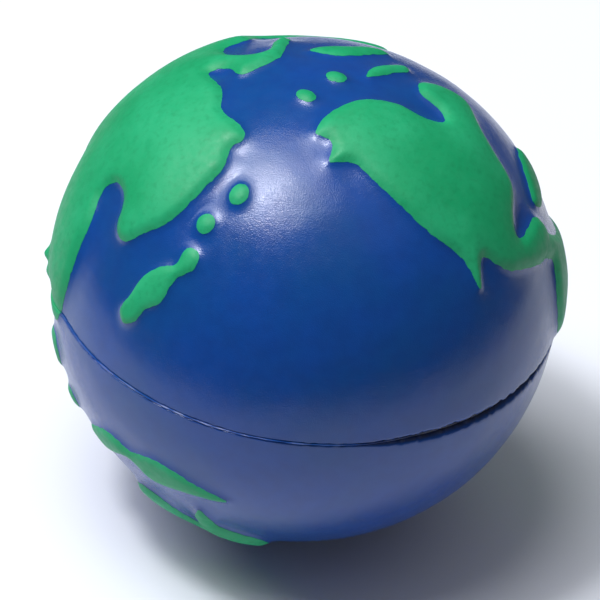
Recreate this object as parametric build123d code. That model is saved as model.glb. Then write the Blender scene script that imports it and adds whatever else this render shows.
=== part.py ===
from build123d import *
from math import cos, radians, sin
import os

# A foam stress ball made as a small globe. A solid foam core carries a thin blue skin, moulded in a
# north and a south half that meet at the equator. Raised lands stand on the skin, and the rubber that
# squeezed out between the mould halves stands up as a fine line of flash all round the equator.
# Frame: origin at the ball's centre, +Z through the north pole, and the Pacific meridian faces -Y.

BALL_DIAMETER = 68.0        # over the ocean skin
SKIN_THICKNESS = 1.0
LAND_HEIGHT = 1.4           # how far the continents stand up from the ocean
ISLAND_HEIGHT = 0.8
FLASH_WIDTH = 0.5           # north to south, across the parting line
FLASH_HEIGHT = 0.3          # above the surface that the flash crosses
FRONT_MERIDIAN = -172.0     # longitude in degrees that faces -Y

OCEAN_RADIUS = BALL_DIAMETER / 2
CORE_RADIUS = OCEAN_RADIUS - SKIN_THICKNESS
LAND_RADIUS = OCEAN_RADIUS + LAND_HEIGHT
CONE_REACH = 1.2 * LAND_RADIUS    # where a coast's cone ends, clear outside the ball
COAST_SPANS = 16                  # lengths that a coast is cut into, which keeps its cone exact

# Coasts as (longitude, latitude) in degrees: smooth closed curves through a few places each.
EURASIA = [
    (119, -2), (121, 10), (120, 19), (118, 26), (115, 32), (117, 35), (121, 36), (126, 34), (129, 30),
    (134, 29), (138, 33), (142, 37), (145, 42), (147, 50), (147, 57), (144, 60), (145, 63), (138, 65),
    (120, 64), (102, 65), (84, 61), (83, 65), (92, 69), (84, 73), (66, 75), (48, 72), (38, 66), (44, 66),
    (53, 69), (63, 70), (69, 66), (65, 59), (56, 55), (45, 54), (38, 49), (28, 45), (14, 44), (0, 45),
    (-8, 41), (0, 37), (12, 39), (24, 38), (34, 35), (36, 28), (43, 14), (52, 16), (57, 23), (64, 25),
    (71, 18), (77, 8), (82, 15), (89, 21), (95, 14), (101, 6), (108, 1), (114, -3), (118, -3)]
AFRICA = [
    (-6, 29), (-15, 22), (-16, 13), (-8, 5), (3, 6), (10, 1), (10, -9), (13, -20), (18, -32), (26, -33),
    (34, -24), (40, -14), (41, -3), (50, 8), (40, 11), (33, 20), (28, 28), (17, 28), (7, 31)]
NORTH_AMERICA = [
    (-180, 72), (-177, 76), (-160, 80), (-126, 81), (-105, 78), (-97, 74), (-95, 68), (-87, 64), (-80, 66),
    (-72, 70), (-62, 70), (-56, 64), (-62, 57), (-74, 55), (-84, 50), (-90, 43), (-99, 39), (-102, 35),
    (-96, 34), (-88, 33), (-86, 28), (-92, 25), (-101, 27), (-109, 30), (-115, 34), (-119, 37),
    (-121, 35), (-123, 31), (-125, 37), (-132, 45), (-142, 55), (-151, 62), (-159, 65), (-169, 65),
    (-168, 69), (-174, 71)]
SOUTH_AMERICA = [
    (-89, 32), (-83, 25), (-73, 19), (-61, 15), (-50, 10), (-39, 4), (-34, -5), (-39, -14), (-48, -24),
    (-57, -35), (-64, -45), (-70, -43), (-73, -32), (-74, -20), (-75, -9), (-81, -3), (-88, 1), (-91, 8),
    (-90, 16), (-89, 22), (-94, 27)]
AUSTRALIA = [
    (142, -41), (146, -37), (151, -37), (155, -41), (158, -47), (161, -49), (164, -44), (166, -35),
    (168, -32), (170, -35), (172, -40), (178, -42), (-176, -44), (-173, -51), (-178, -58), (168, -58),
    (156, -56), (146, -52)]
ANTARCTICA = [
    (-60, -67), (-32, -76), (0, -71), (30, -69), (60, -67), (90, -66), (120, -67), (150, -70), (176, -77),
    (-148, -77), (-120, -73), (-85, -74)]
JAPAN = [
    (152, 34), (155, 37), (157, 36), (157, 33), (154, 30), (153, 27), (152, 23), (149, 20), (147, 16),
    (144, 14), (142, 16), (143, 20), (144, 24), (146, 28), (150, 31)]
NEW_GUINEA = [
    (132, -24), (137, -21), (143, -19), (149, -20), (155, -18), (161, -18), (168, -20), (176, -23),
    (167, -25), (159, -27), (153, -27), (149, -24), (143, -26), (135, -28)]
GREENLAND = [(33, 76), (15, 79), (-9, 77), (-18, 72), (-20, 66), (-13, 67), (2, 72), (20, 74)]
ELLESMERE = [(-52, 82), (-38, 79), (-36, 73), (-39, 68), (-44, 69), (-47, 73), (-54, 79)]
CARIBBEAN = [(-64, 39), (-73, 39), (-79, 37), (-83, 34), (-80, 31), (-74, 30), (-68, 31), (-63, 34)]

# Small round islands: (longitude, latitude), then the half sizes east and north in degrees.
ISLETS = {
    "land_north_kuril": ((159, 52), (2.1, 2.5)),
    "land_south_kuril": ((154, 43), (2.1, 2.3)),
    "land_polar_islet": ((149, 81), (2.4, 1.8)),
    "land_pole_islet": ((-15, 89), (2.4, 2.0)),
    "land_borneo": ((112, -15), (4.0, 5.0)),
    "land_timor": ((119, -25), (3.0, 3.0)),
    "land_madagascar": ((50, -19), (2.8, 6.5)),
}


def direction(longitude, latitude):
    """Unit vector from the ball's centre towards a place on the globe."""
    turn = radians(longitude - FRONT_MERIDIAN - 90)
    tilt = radians(latitude)
    return Vector(cos(tilt) * cos(turn), cos(tilt) * sin(turn), sin(tilt))


def cone(outline):
    """Solid cone from the ball's centre out to a closed flat outline beyond the surface."""
    return Solid.make_loft([Vertex(0, 0, 0), outline], ruled=True)


def coast_cone(coast):
    """Cone whose sides pass through a smooth coast on the globe."""
    rays = [direction(*place) for place in coast]
    middle = sum(rays, Vector(0, 0, 0)).normalized()
    points = [ray * (CONE_REACH / ray.dot(middle)) for ray in rays]
    curve = Edge.make_spline(points, periodic=True)
    spans = [curve.trim(span / COAST_SPANS, (span + 1) / COAST_SPANS) for span in range(COAST_SPANS)]
    return cone(Wire(spans))


def islet_cone(place, half_sizes):
    """Cone through a small oval coast, its axes running east and north."""
    middle = direction(*place)
    east = Vector(0, 0, 1).cross(middle).normalized()
    tangent_plane = Plane(origin=middle * CONE_REACH, x_dir=east, z_dir=middle)
    half_width, half_length = (CONE_REACH * radians(size) for size in half_sizes)
    return cone(Wire([Edge.make_ellipse(half_width, half_length, tangent_plane)]))


def shell(inner_radius, outer_radius):
    return Sphere(outer_radius) - Sphere(inner_radius)


def slab(bottom, top):
    """Everything between two heights."""
    side = 4 * LAND_RADIUS
    return Pos(0, 0, (bottom + top) / 2) * Box(side, side, top - bottom)


def relief(land_cone, height):
    """The raised land inside a coast's cone."""
    return (land_cone & Sphere(OCEAN_RADIUS + height)) - Sphere(OCEAN_RADIUS)


def halves(land):
    """A land that crosses the equator is moulded in two halves, with the flash between them."""
    far = 2 * LAND_RADIUS
    return land & slab(FLASH_WIDTH / 2, far), land & slab(-far, -FLASH_WIDTH / 2)


def seam_flash(crossing_cones):
    """Fine ring at the parting line, which climbs over every land that it crosses."""
    line = slab(-FLASH_WIDTH / 2, FLASH_WIDTH / 2)
    ring = shell(OCEAN_RADIUS, OCEAN_RADIUS + FLASH_HEIGHT) & line
    for land_cone in crossing_cones:
        ring += relief(land_cone, LAND_HEIGHT + FLASH_HEIGHT) & line
    return ring


def skin_half(bottom, top):
    return shell(CORE_RADIUS, OCEAN_RADIUS) & slab(bottom, top)


def write(node, shape):
    shape.label = node
    export_step(shape, f"parts/{node}.step")


def main():
    os.makedirs("parts", exist_ok=True)
    far = 2 * LAND_RADIUS
    write("foam_core", Sphere(CORE_RADIUS))
    write("skin_north", skin_half(0, far))
    write("skin_south", skin_half(-far, 0))

    north_america_cone = coast_cone(NORTH_AMERICA)
    crossing_cones = {
        "land_eurasia": coast_cone(EURASIA),
        "land_africa": coast_cone(AFRICA),
        "land_south_america": coast_cone(SOUTH_AMERICA) - north_america_cone,
    }
    write("seam_flash", seam_flash(crossing_cones.values()))
    for name, land_cone in crossing_cones.items():
        north, south = halves(relief(land_cone, LAND_HEIGHT))
        write(f"{name}_north", north)
        write(f"{name}_south", south)

    continent_cones = {
        "land_north_america": north_america_cone,
        "land_australia": coast_cone(AUSTRALIA),
        "land_antarctica": coast_cone(ANTARCTICA),
    }
    for name, land_cone in continent_cones.items():
        write(name, relief(land_cone, LAND_HEIGHT))

    island_cones = {
        "land_japan": coast_cone(JAPAN),
        "land_new_guinea": coast_cone(NEW_GUINEA),
        "land_greenland": coast_cone(GREENLAND),
        "land_ellesmere": coast_cone(ELLESMERE),
        "land_caribbean": coast_cone(CARIBBEAN),
    }
    for name, (place, half_sizes) in ISLETS.items():
        island_cones[name] = islet_cone(place, half_sizes)
    for name, land_cone in island_cones.items():
        write(name, relief(land_cone, ISLAND_HEIGHT))


main()
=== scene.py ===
from math import cos, pi, radians, sin, sqrt

import bmesh
import bpy
import numpy as np
from mathutils import Matrix, Vector
from mathutils.bvhtree import BVHTree
from mathutils.kdtree import KDTree


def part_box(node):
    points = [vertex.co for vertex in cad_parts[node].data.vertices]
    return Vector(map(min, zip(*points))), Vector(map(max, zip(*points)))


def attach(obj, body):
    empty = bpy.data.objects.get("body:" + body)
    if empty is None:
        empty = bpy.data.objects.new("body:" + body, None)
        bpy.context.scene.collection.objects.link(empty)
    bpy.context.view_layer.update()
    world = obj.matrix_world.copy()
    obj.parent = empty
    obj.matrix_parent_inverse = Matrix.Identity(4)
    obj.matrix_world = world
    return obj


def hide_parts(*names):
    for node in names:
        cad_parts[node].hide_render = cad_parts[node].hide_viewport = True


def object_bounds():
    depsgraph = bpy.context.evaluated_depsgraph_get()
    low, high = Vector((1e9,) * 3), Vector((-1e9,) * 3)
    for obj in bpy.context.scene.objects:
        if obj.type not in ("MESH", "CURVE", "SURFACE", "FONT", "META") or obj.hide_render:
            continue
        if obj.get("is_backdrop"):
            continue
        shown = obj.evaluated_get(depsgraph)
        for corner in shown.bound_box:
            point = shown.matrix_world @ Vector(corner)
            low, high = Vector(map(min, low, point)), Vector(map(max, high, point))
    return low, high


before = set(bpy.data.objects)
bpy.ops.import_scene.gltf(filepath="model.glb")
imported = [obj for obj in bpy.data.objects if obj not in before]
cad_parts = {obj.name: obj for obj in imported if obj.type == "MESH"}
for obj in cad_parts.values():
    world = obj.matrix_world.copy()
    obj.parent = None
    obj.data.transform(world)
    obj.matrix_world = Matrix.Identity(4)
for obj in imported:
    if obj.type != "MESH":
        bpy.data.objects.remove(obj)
cad_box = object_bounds()

MM = 0.001
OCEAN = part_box("skin_north")[1].z     # radius of the blue skin
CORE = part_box("foam_core")[1].z       # radius of the foam inside it
LAND_NODES = sorted(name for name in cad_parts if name.startswith("land_"))

# Mesh spacing: fine along the coasts and the parting line, wider in the open
FINE = 0.21 * MM
COARSE = 0.9 * MM
FINE_BAND = 1.3 * MM
COARSENING = 0.25
EVEN_SPLITS = 6            # rounds that split every triangle, before the finer ones near coasts
FINE_SPLITS = 3
BOWL_SPLITS = 5
LONGEST_EDGE = 1.5         # times the wished length, before an edge is split
SNAP = 0.2 * FINE          # a point this near a coast counts as on it
WELD = 0.001 * MM
COAST_STEP = 0.1 * MM
TOP_FACE = 0.02 * MM       # how far below a land's highest point its top face may lie

# Relief, as parts of each land's own height
FLANK_OUT = 0.65           # the slope starts this far out in the blue
FLANK_IN = 0.95            # and ends this far inside the coast
FLANK_SHARE = 0.44         # height gained in the slope
FOOT_OUT = 2.0             # a gentler foot starts farther out
FOOT_IN = 0.9
FOOT_SHARE = 0.26
CROWN_SHARE = 0.42         # what a land still gains towards its middle
CROWN_REACH = 3.5 * MM
CROWNS = {"land_eurasia": 1.3, "land_south_america": 0.4}    # times the usual crown
HILLS = 0.05 * MM
HILL_SPACING = 9 * MM
HILL_SHORE = 2 * MM        # hills reach their full height this far inland
SMOOTHING_ROUNDS = 5
SEAM_DIP = 0.45            # share of its height that a land loses at the parting line
SEAM_DIP_REACH = 2.5 * MM

# Slow waves in the foam: height, spacing and seed of each
FOAM_WAVES = [(0.08 * MM, 34 * MM, 1), (0.02 * MM, 7 * MM, 2)]

# The foam core stands clear of the skin, and has slow dents where the foam shrank
CORE_GAP = 0.05 * MM
CORE_DENTS = 0.02 * MM
CORE_DENT_SPACING = 6 * MM

# Two blunt nibs where the mould was vented: azimuth and elevation in degrees, and height
NIBS = [(186.6, 5.1, 0.85 * MM), (190.3, 3.2, 0.5 * MM)]
NIB_RADIUS = 0.95 * MM

# Green coat
PAINT = 0.04 * MM          # it stands this proud of the blue one
PAINT_WANDER = 0.05 * MM   # and its edge wanders by this much
PAINT_WANDER_SPACING = 1.6 * MM
LAND_ROOT = 0.3 * MM       # how far a land goes down into the skin
SHARP = radians(30)

# Parting line
SEAM_SPACING = 0.1 * MM
GROOVE_DEPTH = 0.4 * MM
GROOVE_WIDTH = 0.14 * MM
GROOVE_ON_LAND = 0.35      # share of its depth that the groove keeps on land
GROOVE_RAG = 0.14          # how far its width wanders, as a share
BEAD_HALF_WIDTH = 0.09 * MM
BEAD_HEIGHT = 0.16 * MM
BEAD_SINK = 0.05 * MM      # the bead's shoulders lie this far below the surface
BEAD_ROOT = 0.15 * MM      # and its root this far below the groove
BEAD_LEAN = 0.05 * MM
BEAD_STEPS = 3000
BEAD_MEAN = 0.55           # usual height of the bead, as a share of the highest
BEAD_UNEVEN = 0.3          # and how far its ragged edge goes up and down from there
BEAD_RAG = [(0.55, 1.1 * MM, 11), (0.5, 6 * MM, 12)]    # share, spacing and seed of each ripple
BEAD_WANDER = 0.2          # how far its width wanders, as a share
# The bead's section: place across it, then how far from root to shoulder and from shoulder to crest
BEAD_PROFILE = [
    (-1.1, 0, 0), (-1.0, 1, 0), (-0.6, 1, 0.5), (-0.2, 1, 1),
    (0.2, 1, 1), (0.6, 1, 0.5), (1.0, 1, 0), (1.1, 0, 0)]

# Where the flash was torn out, it left a wider, rougher groove
TORN_SIDE = radians(-24)   # azimuth of its middle
TORN_EDGE = 0.6            # cosine of the angle from there at which the tear starts
TORN_FADE = 0.28           # and how much more cosine it takes to be whole
TORN_DEPTH = 0.5 * MM
TORN_SINK = 0.7 * MM       # how far the bead drops in it
TORN_WIDENING = 3.0        # widths added to the usual one
TORN_RAG = 0.35            # how far the width wanders in it, as a share
TORN_WANDER = 0.1 * MM

MOULD_SHIFT = Vector((-0.20, -0.03, 0)) * MM    # the lower mould half sat slightly to one side


# ---------------------------------------------------------------- triangle meshes on the unit sphere

def unit(vectors):
    return vectors / np.linalg.norm(vectors, axis=1)[:, None]


def octahedron():
    """Six points and eight triangles. Its splits keep the equator as a line of edges."""
    points = np.array([[1, 0, 0], [-1, 0, 0], [0, 1, 0], [0, -1, 0], [0, 0, 1], [0, 0, -1]], float)
    upper = [[0, 2, 4], [2, 1, 4], [1, 3, 4], [3, 0, 4]]
    lower = [[2, 0, 5], [1, 2, 5], [3, 1, 5], [0, 3, 5]]
    return points, np.array(upper + lower)


def edges_of(triangles):
    """The directed edges of triangles: three rows for each, in order."""
    return triangles[:, [[0, 1], [1, 2], [2, 0]]].reshape(-1, 2)


def split(points, triangles, choose, place):
    """Puts a point on each chosen edge, and divides the triangles to match."""
    edges, index = np.unique(np.sort(edges_of(triangles), axis=1), axis=0, return_inverse=True)
    chosen = choose(edges)
    added = place(edges[chosen])
    middle = np.full(len(edges), -1)
    middle[chosen] = len(points) + np.arange(len(added))
    middles = middle[index.ravel()].reshape(-1, 3)
    count = (middles >= 0).sum(axis=1)
    first_split = np.argmax(middles >= 0, axis=1)
    first_whole = np.argmax(middles < 0, axis=1)
    turn = np.where(count == 2, first_whole + 1, first_split)
    order = (np.arange(3) + turn[:, None]) % 3
    a, b, c = np.take_along_axis(triangles, order, 1).T
    ab, bc, ca = np.take_along_axis(middles, order, 1).T
    patterns = {
        0: [(a, b, c)],
        1: [(a, ab, c), (ab, b, c)],
        2: [(ab, b, bc), (a, ab, bc), (a, bc, c)],
        3: [(a, ab, ca), (ab, b, bc), (ca, bc, c), (ab, bc, ca)],
    }
    pieces = [
        np.stack(corners, axis=1)[count == splits]
        for splits, pattern in patterns.items()
        for corners in pattern
    ]
    return np.vstack([points, added]), np.vstack(pieces)


def every_edge(edges):
    return np.full(len(edges), True)


def halfway(points):
    """Puts a new point over the middle of each edge, out on the sphere."""
    return lambda edges: unit(points[edges].sum(axis=1))


def even_sphere(rounds):
    """A unit sphere of triangles, all split the same number of times."""
    points, triangles = octahedron()
    for _ in range(rounds):
        points, triangles = split(points, triangles, every_edge, halfway(points))
    return points, triangles


def border_of(triangles):
    """The directed edges that only one triangle has."""
    edges = edges_of(triangles)
    size = triangles.max() + 1
    keys = edges[:, 0] * size + edges[:, 1]
    reverse = edges[:, 1] * size + edges[:, 0]
    return edges[~np.isin(keys, reverse)]


def compact(triangles):
    """The vertices that some triangles use, and the triangles renumbered to them."""
    used, index = np.unique(triangles, return_inverse=True)
    return used, index.reshape(-1, 3)


def smoothed(values, points, triangles, rounds):
    """Values at the vertices, averaged a few times with their neighbours, the nearest ones most."""
    start, end = edges_of(triangles).T
    weight = 1 / np.linalg.norm(points[start] - points[end], axis=1)
    whole = np.bincount(start, weights=weight, minlength=len(values))
    for _ in range(rounds):
        total = np.bincount(start, weights=weight * values[end], minlength=len(values))
        values = (values + total / whole) / 2
    return values


def smoothstep(value):
    value = np.clip(value, 0, 1)
    return value * value * (3 - 2 * value)


def ripple(directions, wavelength, seed, waves=24):
    """A smooth random field over the ball, about -1 to 1."""
    rng = np.random.default_rng(seed)
    headings = unit(rng.normal(size=(waves, 3)))
    phases = rng.uniform(0, 2 * pi, waves)
    stretch = rng.uniform(0.7, 1.4, waves)
    turns = directions @ (headings * (stretch * 2 * pi * OCEAN / wavelength)[:, None]).T
    return np.sin(turns + phases).sum(axis=1) / sqrt(waves)


# ---------------------------------------------------------------- coasts, read from the CAD lands

def land_top(name):
    """The top face of a CAD land: its merged vertices and its triangles."""
    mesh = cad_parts[name].data
    places = np.empty(len(mesh.vertices) * 3)
    mesh.vertices.foreach_get("co", places)
    places = places.reshape(-1, 3)
    mesh.calc_loop_triangles()
    triangles = np.empty(len(mesh.loop_triangles) * 3, np.int64)
    mesh.loop_triangles.foreach_get("vertices", triangles)
    rounded, first, index = np.unique(
        np.round(places / WELD).astype(np.int64), axis=0, return_index=True, return_inverse=True)
    places = places[first]
    triangles = index.ravel()[triangles].reshape(-1, 3)
    radius = np.linalg.norm(places, axis=1)
    on_top = (radius[triangles] > radius.max() - TOP_FACE).all(axis=1)
    return places, triangles[on_top], radius.max() - OCEAN


def coast_steps(places, triangles):
    """Short directed steps round a land's top face, with the land on their left."""
    starts, ends = [], []
    for a, b in places[border_of(triangles)]:
        count = max(1, int(np.ceil(np.linalg.norm(b - a) / COAST_STEP)))
        line = a + (b - a) * np.linspace(0, 1, count + 1)[:, None]
        starts.append(line[:-1])
        ends.append(line[1:])
    return unit(np.vstack(starts)) * OCEAN, unit(np.vstack(ends)) * OCEAN


def tree_of(places):
    tree = KDTree(len(places))
    for index, place in enumerate(places):
        tree.insert(place, index)
    tree.balance()
    return tree


class Coasts:
    """Every true coast of the globe: where the lands meet the sea, not where they meet each other."""

    def __init__(self):
        starts, ends, owners, heights = [], [], [], []
        for number, name in enumerate(LAND_NODES):
            places, triangles, height = land_top(name)
            start, end = coast_steps(places, triangles)
            starts.append(start)
            ends.append(end)
            owners.append(np.full(len(start), number))
            heights.append(height)
        start, end, owner = np.vstack(starts), np.vstack(ends), np.concatenate(owners)
        flash_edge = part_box("seam_flash")[1].z * 1.1
        keep = np.maximum(abs(start[:, 2]), abs(end[:, 2])) > flash_edge
        tree = tree_of(start)
        for index, place in enumerate(start):
            near = tree.find_range(place, 1.2 * COAST_STEP)
            keep[index] &= all(owner[other] == owner[index] for _, other, _ in near)
        self.start, self.end, self.owner = start[keep], end[keep], owner[keep]
        self.heights = np.array(heights)
        self.crowns = np.array([crown_of(name) for name in LAND_NODES])
        self.tree = tree_of((self.start + self.end) / 2)

    def measure(self, directions):
        """Distance to the nearest coast, positive on land, and that coast's land."""
        places = directions * OCEAN
        nearest = np.array([self.tree.find(place)[1] for place in places])
        start = self.start[nearest]
        along = self.end[nearest] - start
        share = ((places - start) * along).sum(axis=1) / (along * along).sum(axis=1)
        foot = start + np.clip(share, 0, 1)[:, None] * along
        side = (np.cross(along, places - start) * directions).sum(axis=1)
        distance = np.linalg.norm(places - foot, axis=1) * np.where(side > 0, 1, -1)
        return distance, self.owner[nearest]


# ---------------------------------------------------------------- the shape of the surface

def crown_of(name):
    return next((crown for land, crown in CROWNS.items() if name.startswith(land)), 1.0)


def relief(directions, shore, height, crowning):
    """Height of the land and its blue foot above the ocean, by distance from the coast."""
    flank = smoothstep((shore / height + FLANK_OUT) / (FLANK_OUT + FLANK_IN))
    foot = smoothstep((shore / height + FOOT_OUT) / (FOOT_OUT + FOOT_IN))
    crown = crowning * (1 - np.exp(-np.maximum(shore, 0) / CROWN_REACH))
    hills = HILLS * ripple(directions, HILL_SPACING, 3) * smoothstep(shore / HILL_SHORE)
    lowered = 1 - SEAM_DIP * np.exp(-(directions[:, 2] * OCEAN / SEAM_DIP_REACH) ** 2)
    return height * lowered * (FLANK_SHARE * flank + FOOT_SHARE * foot + CROWN_SHARE * crown) + hills


def nibs(directions):
    total = np.zeros(len(directions))
    for azimuth, elevation, height in NIBS:
        turn, tilt = radians(azimuth), radians(elevation)
        centre = np.array([cos(tilt) * cos(turn), cos(tilt) * sin(turn), sin(tilt)])
        away = np.linalg.norm(directions - centre, axis=1) * OCEAN
        total += height * np.exp(-(away / NIB_RADIUS) ** 2)
    return total


def ripples(directions, layers):
    """Ripples on top of each other, each of them a height, a spacing and a seed."""
    return sum(height * ripple(directions, spacing, seed) for height, spacing, seed in layers)


def torn(directions):
    """How far the flash is torn out, 0 to 1, by azimuth."""
    turn = np.arctan2(directions[:, 1], directions[:, 0])
    return smoothstep((np.cos(turn - TORN_SIDE) - TORN_EDGE) / TORN_FADE)


def groove(directions, shore):
    """Depth of the parting groove: ragged, shallower on land, wider where the flash is torn."""
    level = directions * [1, 1, 0]
    gone = torn(directions)
    kept = 1 - (1 - GROOVE_ON_LAND) * smoothstep(shore / MM)
    depth = (GROOVE_DEPTH + TORN_DEPTH * gone) * kept
    ragged = GROOVE_RAG * ripple(level, 1.3 * MM, 7) + TORN_RAG * gone * ripple(level, 0.9 * MM, 9)
    width = GROOVE_WIDTH * (1 + TORN_WIDENING * gone + ragged)
    wander = TORN_WANDER * ripple(level, 1.8 * MM, 8) * gone
    return depth * np.exp(-((directions[:, 2] * OCEAN - wander) / width) ** 2)


def groove_shade_share(directions):
    """Painted shade in the bottom of the torn groove, 0 to 1."""
    reach = (1 + TORN_WIDENING) * GROOVE_WIDTH
    return torn(directions) * np.exp(-(directions[:, 2] * OCEAN / reach) ** 4)


def body_shape(directions, shore):
    """What moves skin and lands alike."""
    return ripples(directions, FOAM_WAVES) + nibs(directions) - groove(directions, shore)


def target_length(shore, directions):
    by_coast = FINE + COARSENING * np.maximum(abs(shore) - FINE_BAND, 0)
    seam = abs(directions[:, 2]) * OCEAN
    by_seam = SEAM_SPACING + COARSENING * np.maximum(seam - 2 * GROOVE_WIDTH, 0)
    return np.clip(np.minimum(by_coast, by_seam), SEAM_SPACING, COARSE)


def globe(coasts):
    """Triangles over the whole ball, cut along every coast."""
    points, triangles = even_sphere(EVEN_SPLITS)
    for _ in range(FINE_SPLITS):
        shore = coasts.measure(points)[0]
        wish = target_length(shore, points)

        def too_long(edges):
            length = np.linalg.norm(points[edges[:, 0]] - points[edges[:, 1]], axis=1) * OCEAN
            return length > LONGEST_EDGE * wish[edges].min(axis=1)

        points, triangles = split(points, triangles, too_long, halfway(points))

    shore = coasts.measure(points)[0] + PAINT_WANDER * ripple(points, PAINT_WANDER_SPACING, 6)
    shore[abs(shore) < SNAP] = 0

    def crossing(edges):
        return shore[edges[:, 0]] * shore[edges[:, 1]] < 0

    def at_coast(edges):
        first, second = shore[edges[:, 0]], shore[edges[:, 1]]
        share = (first / (first - second))[:, None]
        return unit(points[edges[:, 0]] * (1 - share) + points[edges[:, 1]] * share)

    points, triangles = split(points, triangles, crossing, at_coast)
    shore = np.concatenate([shore, np.zeros(len(points) - len(shore))])
    return points, triangles, shore


def land_finder():
    """Says which land node each place is nearest to."""
    places, polygons, owners = [], [], []
    for number, name in enumerate(LAND_NODES):
        top, triangles, _ = land_top(name)
        polygons.extend((triangles + len(places)).tolist())
        places.extend(unit(top).tolist())
        owners.extend([number] * len(triangles))
    tree = BVHTree.FromPolygons(places, polygons)
    return lambda directions: np.array([owners[tree.find_nearest(place)[2]] for place in directions])


# ---------------------------------------------------------------- pieces

def make_object(name, places, triangles, material, **attributes):
    """A smooth mesh object, with one number for each vertex under each attribute's name."""
    mesh = bpy.data.meshes.new(name)
    mesh.from_pydata(places.tolist(), [], triangles.tolist())
    for label, values in attributes.items():
        mesh.attributes.new(label, "FLOAT", "POINT").data.foreach_set("value", values)
    mesh.shade_smooth()
    mesh.set_sharp_from_angle(angle=SHARP)
    mesh.materials.append(material)
    piece = bpy.data.objects.new(name, mesh)
    bpy.context.scene.collection.objects.link(piece)
    return piece


def register(piece, nodes):
    """Joins a finished foam piece to the frame."""
    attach(piece, "root")
    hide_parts(*nodes)


def closed_patch(points, triangles, outer, inner):
    """A solid patch of the ball between two radii: top, underside and the wall round them."""
    used, local = compact(triangles)
    count = len(used)
    top = points[used] * outer[used][:, None]
    under = points[used] * inner
    border = border_of(local)
    a, b = border.T
    wall = np.vstack([np.stack([b, a, a + count], 1), np.stack([b, a + count, b + count], 1)])
    faces = np.vstack([local, local[:, ::-1] + count, wall])
    return np.vstack([top, under]), faces


def make_land(name, points, triangles, outer, material):
    places, faces = closed_patch(points, triangles, outer, OCEAN - LAND_ROOT)
    if name.endswith("_south") or places[:, 2].max() < 0:
        places = places + np.array(MOULD_SHIFT)
    piece = make_object(name + "_relief", places, faces, material)
    register(piece, [name])


def make_skin(name, side, points, triangles, outer, material):
    """One mould half of the blue skin: a closed bowl from the core's radius to the ocean."""
    def half(all_points, all_triangles):
        return all_triangles[all_points[all_triangles].mean(axis=1)[:, 2] * side > 0]

    used, local = compact(half(points, triangles))
    bowl, bowl_triangles = even_sphere(BOWL_SPLITS)
    bowl_used, bowl_local = compact(half(bowl, bowl_triangles))
    places = np.vstack([points[used] * outer[used][:, None], bowl[bowl_used] * CORE])
    faces = np.vstack([local, bowl_local[:, ::-1] + len(used)])
    if side < 0:
        places = places + np.array(MOULD_SHIFT)
    # share of painted shade in the torn groove, kept on each vertex
    grime = np.concatenate([groove_shade_share(points[used]), np.zeros(len(bowl_used))])
    piece = make_object(name + "_foam_skin", places, faces, material, grime=grime)
    mesh = bmesh.new()
    mesh.from_mesh(piece.data)
    rims = [edge for edge in mesh.edges if edge.is_boundary]
    bmesh.ops.bridge_loops(mesh, edges=rims)
    bmesh.ops.recalc_face_normals(mesh, faces=mesh.faces)
    mesh.to_mesh(piece.data)
    mesh.free()
    register(piece, [name])


def make_core(material):
    """The foam inside the skin."""
    points, triangles = even_sphere(EVEN_SPLITS)
    radius = CORE - CORE_GAP + CORE_DENTS * ripple(points, CORE_DENT_SPACING, 5)
    places = points * radius[:, None]
    piece = make_object("core_foam", places, triangles, material)
    register(piece, ["foam_core"])


def bead_rings(directions, surface):
    """The bead's corners, ring by ring. It is low and ragged, and gone where it was torn out."""
    gone = torn(directions)
    proud = BEAD_HEIGHT * (BEAD_MEAN + BEAD_UNEVEN * ripples(directions, BEAD_RAG)) * (1 - gone)
    shoulder = surface - BEAD_SINK - TORN_SINK * gone
    root = surface - GROOVE_DEPTH - TORN_DEPTH * gone - BEAD_ROOT
    wide = BEAD_HALF_WIDTH * (1 + BEAD_WANDER * ripple(directions, 2.3 * MM, 13) + gone)
    lean = BEAD_LEAN * ripple(directions, 4 * MM, 14)
    rings = []
    for across, base, rise in BEAD_PROFILE:
        radius = root + (shoulder - root) * base + (proud + BEAD_SINK) * rise
        ring = directions * radius[:, None] + np.array(MOULD_SHIFT) / 2
        ring[:, 2] += across * wide + lean * rise
        rings.append(ring)
    return rings


def tube_faces(steps, corners):
    """The triangles of a closed tube: so many steps round, so many corners in its section."""
    step = np.arange(steps)[:, None] * corners
    after = np.roll(step, -1, axis=0)
    here = np.arange(corners)[None, :]
    there = (here + 1) % corners
    a, b, c, d = step + here, after + here, after + there, step + there
    return np.vstack([np.stack([a, b, c], 2).reshape(-1, 3), np.stack([a, c, d], 2).reshape(-1, 3)])


def make_bead(coasts, material):
    """The trimmed flash: a low ridge in the parting groove, all round the ball."""
    turns = np.linspace(0, 2 * pi, BEAD_STEPS, endpoint=False)
    directions = np.stack([np.cos(turns), np.sin(turns), np.zeros(BEAD_STEPS)], axis=1)
    shore, owner = coasts.measure(directions)
    height = relief(directions, shore, coasts.heights[owner], coasts.crowns[owner])
    surface = OCEAN + height + ripples(directions, FOAM_WAVES)
    places = np.stack(bead_rings(directions, surface), axis=1).reshape(-1, 3)
    corners = len(BEAD_PROFILE)
    coast = np.repeat(shore, corners) / MM
    # share of painted shade in the torn groove, kept on each vertex
    grime = np.repeat(groove_shade_share(directions), corners)
    piece = make_object(
        "seam_flash_bead", places, tube_faces(BEAD_STEPS, corners), material,
        coast=coast, grime=grime)
    register(piece, ["seam_flash"])


# ---------------------------------------------------------------- materials

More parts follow.
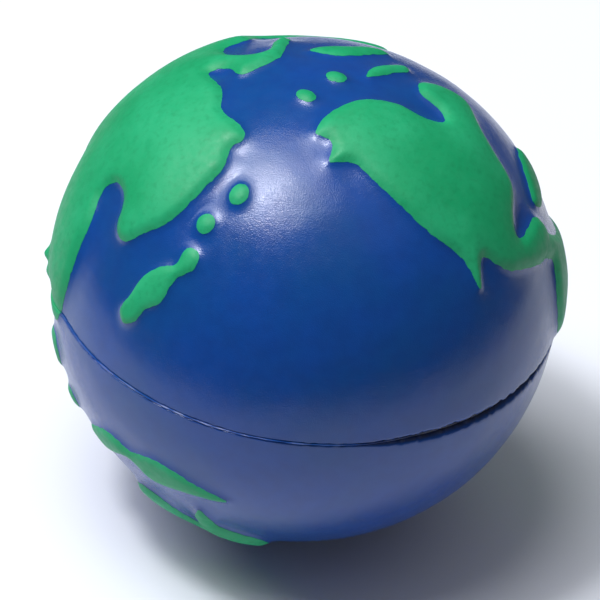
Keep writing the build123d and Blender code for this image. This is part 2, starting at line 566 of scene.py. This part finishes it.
class Paint:
    """A Principled material and short ways to add nodes to it."""

    def __init__(self, name):
        self.material = bpy.data.materials.new(name)
        self.material.use_nodes = True
        self.nodes = self.material.node_tree.nodes
        self.links = self.material.node_tree.links
        self.shader = self.nodes["Principled BSDF"]
        self.object_place = self.nodes.new("ShaderNodeTexCoord").outputs["Object"]

    def fixed(self, **sockets):
        for label, value in sockets.items():
            self.shader.inputs[label.replace("_", " ")].default_value = value

    def noise(self, size, detail=3.0, roughness=0.55):
        """Noise whose features are about this many metres across."""
        node = self.nodes.new("ShaderNodeTexNoise")
        node.inputs["Scale"].default_value = 1 / size
        node.inputs["Detail"].default_value = detail
        node.inputs["Roughness"].default_value = roughness
        self.links.new(self.object_place, node.inputs["Vector"])
        return node.outputs["Fac"]

    def cells(self, size):
        node = self.nodes.new("ShaderNodeTexVoronoi")
        node.inputs["Scale"].default_value = 1 / size
        self.links.new(self.object_place, node.inputs["Vector"])
        return node

    def ramp(self, value, low, high, to_low=0.0, to_high=1.0):
        node = self.nodes.new("ShaderNodeMapRange")
        node.interpolation_type = "SMOOTHSTEP"
        for label, number in (("From Min", low), ("From Max", high), ("To Min", to_low), ("To Max", to_high)):
            node.inputs[label].default_value = number
        self.links.new(value, node.inputs["Value"])
        return node.outputs["Result"]

    def maths(self, operation, first, second):
        node = self.nodes.new("ShaderNodeMath")
        node.operation = operation
        for socket, value in zip(node.inputs, (first, second)):
            if isinstance(value, (int, float)):
                socket.default_value = value
            else:
                self.links.new(value, socket)
        return node.outputs[0]

    def mix(self, share, first, second):
        """A colour between two, each of them a colour or a socket."""
        node = self.nodes.new("ShaderNodeMix")
        node.data_type = "RGBA"
        self.links.new(share, node.inputs["Factor"])
        for label, value in (("A", first), ("B", second)):
            socket = next(s for s in node.inputs if s.name == label and s.type == "RGBA")
            if isinstance(value, tuple):
                socket.default_value = (*value, 1.0)
            else:
                self.links.new(value, socket)
        return next(s for s in node.outputs if s.type == "RGBA")

    def attribute(self, name):
        node = self.nodes.new("ShaderNodeAttribute")
        node.attribute_name = name
        return node.outputs["Fac"]

    def link(self, value, label):
        self.links.new(value, self.shader.inputs[label])

    def bumps(self, *layers):
        """Height layers of (socket, depth in metres), the broadest first."""
        normal = None
        for value, depth in layers:
            node = self.nodes.new("ShaderNodeBump")
            node.inputs["Distance"].default_value = depth
            self.links.new(value, node.inputs["Height"])
            if normal is not None:
                self.links.new(normal, node.inputs["Normal"])
            normal = node.outputs["Normal"]
        self.link(normal, "Normal")


# Colours, linear
BLUE = (0.003, 0.053, 0.28)
BLUE_DEEP = (0.003, 0.036, 0.20)
BLUE_TEAL = (0.002, 0.056, 0.235)
GREEN = (0.004, 0.30, 0.115)
GREEN_DEEP = (0.002, 0.22, 0.08)
GREEN_PALE = (0.014, 0.36, 0.155)
# painted shade for the inside of the pinholes, on blue and on green
BLUE_PIT_SHADE = (0.003, 0.012, 0.04)
GREEN_PIT_SHADE = (0.002, 0.1, 0.05)
# painted shade for the bottom of the torn groove
GROOVE_SHADE = (0.002, 0.004, 0.018)
FOAM_PORE = (0.42, 0.38, 0.28)
FOAM_CREAM = (0.72, 0.68, 0.56)
FLOOR_WHITE = (0.76, 0.79, 0.87, 1.0)
CEILING_WHITE = (1.0, 1.0, 1.0, 1.0)
COOL_SHEEN = (0.86, 0.88, 1.0, 1.0)    # tint of the lacquer's reflections

BLUE_MOTTLE = 0.35         # how strongly the deep blue shows in its patches
GREEN_MOTTLE = 0.45


def blue_colour(paint):
    patches = paint.ramp(paint.noise(16 * MM), 0.35, 0.7)
    mottle = paint.ramp(paint.noise(2.2 * MM), 0.3, 0.75)
    wide = paint.mix(patches, BLUE, BLUE_TEAL)
    return paint.mix(paint.maths("MULTIPLY", mottle, BLUE_MOTTLE), wide, BLUE_DEEP)


def green_colour(paint):
    patches = paint.ramp(paint.noise(11 * MM), 0.35, 0.68)
    mottle = paint.ramp(paint.noise(0.9 * MM, detail=4), 0.45, 0.8)
    wide = paint.mix(patches, GREEN, GREEN_PALE)
    return paint.mix(paint.maths("MULTIPLY", mottle, GREEN_MOTTLE), wide, GREEN_DEEP)


def with_groove_shade(paint, colour):
    """A colour, darkened by painted shade in the bottom of the torn groove."""
    # noise breaks up the painted shade in the groove
    specks = paint.ramp(paint.noise(0.4 * MM), 0.2, 0.6, to_low=0.6, to_high=1.0)
    return paint.mix(paint.maths("MULTIPLY", paint.attribute("grime"), specks), colour, GROOVE_SHADE)


def pinholes(paint, size, radius):
    """Small pits, one in a few of the cells, for a dent and for painted shade in them. The radius is a share
    of a cell's size.
    """
    cells = paint.cells(size)
    inside = paint.ramp(cells.outputs["Distance"], radius * 0.6, radius, to_low=1.0, to_high=0.0)
    chosen = paint.ramp(cells.outputs["Color"], 0.92, 0.94)
    return paint.maths("MULTIPLY", inside, chosen)


def blue_skin():
    """Satin flexible lacquer over foam: fine grain that sparkles where the light is bright."""
    paint = Paint("blue_skin_lacquer")
    paint.fixed(Specular_IOR_Level=0.55, Specular_Tint=COOL_SHEEN)
    # the pits get painted shade in their colour as well as a dent
    pits = pinholes(paint, size=5.0 * MM, radius=0.03)
    # the torn groove gets painted shade in its colour
    paint.link(with_groove_shade(paint, paint.mix(pits, blue_colour(paint), BLUE_PIT_SHADE)), "Base Color")
    paint.link(paint.ramp(paint.noise(1.4 * MM), 0.3, 0.7, to_low=0.2, to_high=0.26), "Roughness")
    paint.bumps(
        (paint.noise(3.5 * MM, detail=2), 0.05 * MM),
        (paint.noise(0.15 * MM, detail=1), 0.024 * MM),
        (paint.maths("MULTIPLY", pits, -1.0), 0.04 * MM))
    return paint.material


def green_land():
    """Matt flexible paint."""
    paint = Paint("green_land_paint")
    paint.fixed(Specular_IOR_Level=0.35)
    # the pits get painted shade in their colour as well as a dent
    pits = pinholes(paint, size=3.2 * MM, radius=0.04)
    paint.link(paint.mix(pits, green_colour(paint), GREEN_PIT_SHADE), "Base Color")
    paint.link(paint.ramp(paint.noise(1.1 * MM), 0.3, 0.7, to_low=0.46, to_high=0.6), "Roughness")
    paint.bumps(
        (paint.noise(2.6 * MM, detail=2), 0.05 * MM),
        (paint.noise(0.34 * MM, detail=2), 0.014 * MM),
        (paint.maths("MULTIPLY", pits, -1.0), 0.08 * MM))
    return paint.material


def seam_paint():
    """The flash takes the blue of the sea or the green of the land that it crosses."""
    paint = Paint("seam_flash_paint")
    paint.fixed(Roughness=0.38, Specular_IOR_Level=0.5)
    on_land = paint.ramp(paint.attribute("coast"), -0.05, 0.1)
    coat = paint.mix(on_land, blue_colour(paint), green_colour(paint))
    # the torn groove gets painted shade in its colour
    paint.link(with_groove_shade(paint, coat), "Base Color")
    paint.bumps((paint.noise(0.5 * MM, detail=3), 0.06 * MM))
    return paint.material


def raw_foam():
    """Cream open-cell foam."""
    paint = Paint("raw_foam")
    paint.fixed(Roughness=0.9, Specular_IOR_Level=0.2)
    pores = paint.cells(0.6 * MM)
    open_share = paint.ramp(pores.outputs["Distance"], 0.1, 0.5)
    paint.link(paint.mix(open_share, FOAM_PORE, FOAM_CREAM), "Base Color")
    paint.bumps((open_share, 0.15 * MM))
    return paint.material


# ---------------------------------------------------------------- camera, light and floor

CAMERA_ELEVATION = radians(36.1)
CAMERA_ROLL = radians(7.5)
CAMERA_DISTANCE = 20 * OCEAN
BALL_SHARE = 0.8413            # the ocean's width as a share of the picture's width
FRAMING_SHIFT = (-0.0112, -0.0183)
FLOOR_RADIUS = 0.19
FLOOR_CENTRE = (0.05, 0.05)
FLOOR_SIDES = 64
CEILING = 0.5                  # brightness of the room straight above
HORIZON = 0.1                  # and low down
DARK_BELOW = sin(radians(40))  # the sine of the height at which it starts to brighten


def camera_axes():
    """Right, up and backwards as the camera sees them."""
    back = Vector((0, -cos(CAMERA_ELEVATION), sin(CAMERA_ELEVATION)))
    level_up = Vector((0, sin(CAMERA_ELEVATION), cos(CAMERA_ELEVATION)))
    level_right = Vector((1, 0, 0))
    right = level_right * cos(CAMERA_ROLL) + level_up * sin(CAMERA_ROLL)
    up = level_up * cos(CAMERA_ROLL) - level_right * sin(CAMERA_ROLL)
    return right, up, back


def make_camera():
    right, up, back = camera_axes()
    data = bpy.data.cameras.new("camera")
    camera = bpy.data.objects.new("camera", data)
    bpy.context.scene.collection.objects.link(camera)
    turn = Matrix((right, up, back)).transposed().to_4x4()
    camera.matrix_world = Matrix.Translation(back * CAMERA_DISTANCE) @ turn
    half_ball = OCEAN / sqrt(CAMERA_DISTANCE ** 2 - OCEAN ** 2)
    data.lens = data.sensor_width * BALL_SHARE / 2 / half_ball
    data.shift_x, data.shift_y = FRAMING_SHIFT
    data.clip_start, data.clip_end = 0.01, 50
    bpy.context.scene.camera = camera


def area_light(name, heading, distance, size, power):
    """A round white light, that many metres off and across, and that many watts."""
    data = bpy.data.lights.new(name, "AREA")
    data.shape = "DISK"
    data.size = size
    data.energy = power
    light = bpy.data.objects.new(name, data)
    light.location = heading.normalized() * distance
    light.rotation_euler = heading.to_track_quat("Z", "Y").to_euler()
    bpy.context.scene.collection.objects.link(light)


def make_lights():
    area_light("key", Vector((-0.38, -0.20, 0.90)), distance=1.5, size=0.24, power=10)
    area_light("softbox", Vector((-0.30, -0.10, 0.94)), distance=1.5, size=1.0, power=14)
    area_light("left_fill", Vector((-0.72, 0.05, 0.80)), distance=1.6, size=1.0, power=9)
    bpy.context.scene.world = studio_room()
    bpy.context.scene.view_settings.view_transform = "Standard"


def studio_room():
    """A room with a pale ceiling, darker towards the horizon."""
    world = bpy.data.worlds.new("studio")
    world.use_nodes = True
    nodes, links = world.node_tree.nodes, world.node_tree.links
    heading = nodes.new("ShaderNodeTexCoord").outputs["Generated"]
    split_heading = nodes.new("ShaderNodeSeparateXYZ")
    brightness = nodes.new("ShaderNodeMapRange")
    brightness.interpolation_type = "SMOOTHSTEP"
    brightness.inputs["From Min"].default_value = DARK_BELOW
    brightness.inputs["From Max"].default_value = 1.0
    brightness.inputs["To Min"].default_value = HORIZON
    brightness.inputs["To Max"].default_value = CEILING
    nodes["Background"].inputs["Color"].default_value = CEILING_WHITE
    links.new(heading, split_heading.inputs["Vector"])
    links.new(split_heading.outputs["Z"], brightness.inputs["Value"])
    links.new(brightness.outputs["Result"], nodes["Background"].inputs["Strength"])
    return world


def make_floor(height):
    """A small round floor. A wider one would reflect too high up the ball."""
    turns = np.linspace(0, 2 * pi, FLOOR_SIDES, endpoint=False)
    rim = np.stack([np.cos(turns), np.sin(turns), np.zeros(FLOOR_SIDES)], axis=1) * FLOOR_RADIUS
    mesh = bpy.data.meshes.new("floor")
    mesh.from_pydata((rim + [*FLOOR_CENTRE, height]).tolist(), [], [range(FLOOR_SIDES)])
    floor = bpy.data.objects.new("floor", mesh)
    bpy.context.scene.collection.objects.link(floor)
    paint = Paint("floor_white")
    paint.fixed(Roughness=0.8, Base_Color=FLOOR_WHITE)
    mesh.materials.append(paint.material)
    floor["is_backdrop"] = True


# ---------------------------------------------------------------- the whole scene

def build():
    coasts = Coasts()
    points, triangles, shore = globe(coasts)
    distance, owner = coasts.measure(points)
    height = coasts.heights[owner]
    rise = relief(points, distance, height, coasts.crowns[owner])
    land_height = smoothed(rise, points, triangles, SMOOTHING_ROUNDS)
    shape = body_shape(points, distance)
    skin = OCEAN + shape + land_height
    land = skin + PAINT

    blue, green = blue_skin(), green_land()
    make_skin("skin_north", 1, points, triangles, skin, blue)
    make_skin("skin_south", -1, points, triangles, skin, blue)
    make_core(raw_foam())
    make_bead(coasts, seam_paint())

    dry = triangles[shore[triangles].sum(axis=1) > 0]
    middles = unit(points[dry].mean(axis=1))
    land_of = land_finder()(middles)
    for number, name in enumerate(LAND_NODES):
        patch = dry[land_of == number]
        make_land(name, points, patch, land, green)


make_camera()
make_lights()
build()
make_floor(min(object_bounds()[0].z, cad_box[0].z))
